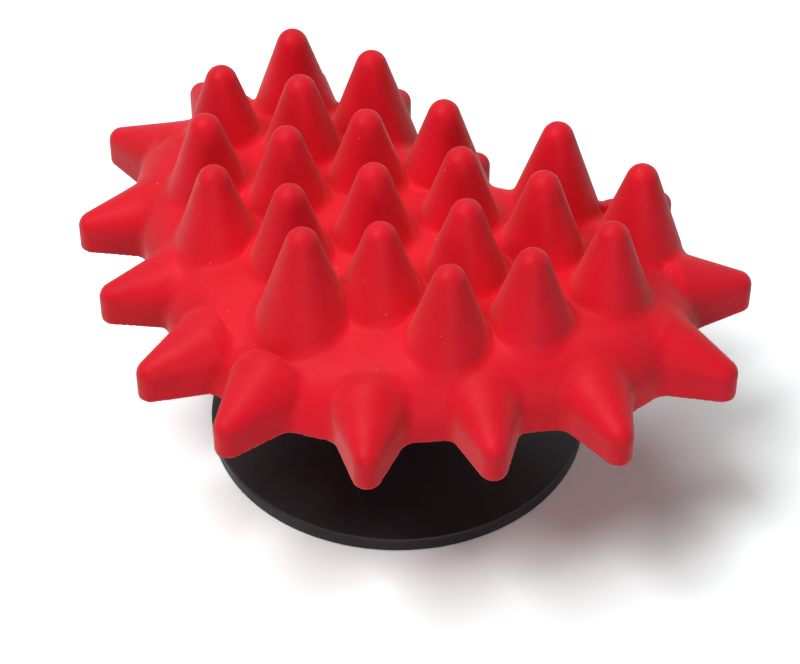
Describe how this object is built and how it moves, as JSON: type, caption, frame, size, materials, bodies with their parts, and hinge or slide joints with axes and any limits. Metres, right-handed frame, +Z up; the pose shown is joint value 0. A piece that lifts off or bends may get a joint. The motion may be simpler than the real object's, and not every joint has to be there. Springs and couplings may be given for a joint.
{
  "type": "suction-mounted massage pad",
  "caption": "Heart-shaped soft massage pad with rounded cones on top and blunt spikes round its rim, which swivels on a rubber suction cup.",
  "frame": {"origin": "centre of the suction cup's sealing face, on the surface that it stands on", "axes": "+Z up through the swivel, +Y towards the notch of the heart, +X across the heart's two lobes"},
  "size_m": [0.1491, 0.11, 0.0739],
  "materials": {
    "silicone": "matte red silicone with a fine velvety skin",
    "cup_rubber": "satin black rubber",
    "plate_plastic": "black glass-filled nylon",
    "brass": "turned",
    "steel": "zinc plated"
  },
  "bodies": {
    "cup": {"suction_cup": "cup_rubber"},
    "stem": {"stud": "steel", "retaining_washer": "steel", "lock_nut": "steel"},
    "pad": {"massage_pad": "silicone", "anchor_plate": "plate_plastic", "pivot_bush": "brass"}
  },
  "joints": [
    {"name": "press", "type": "slide", "parent": "cup", "child": "stem", "axis": [0, 0, -1], "range_m": [0, 0.003], "stiffness_N_per_m": 8000, "springref_m": -0.0005, "deforming": ["suction_cup"]},
    {"name": "swivel", "type": "hinge", "parent": "stem", "child": "pad", "pos_m": [0, 0, 0.04], "axis": [0, 0, 1], "continuous": true}
  ]
}
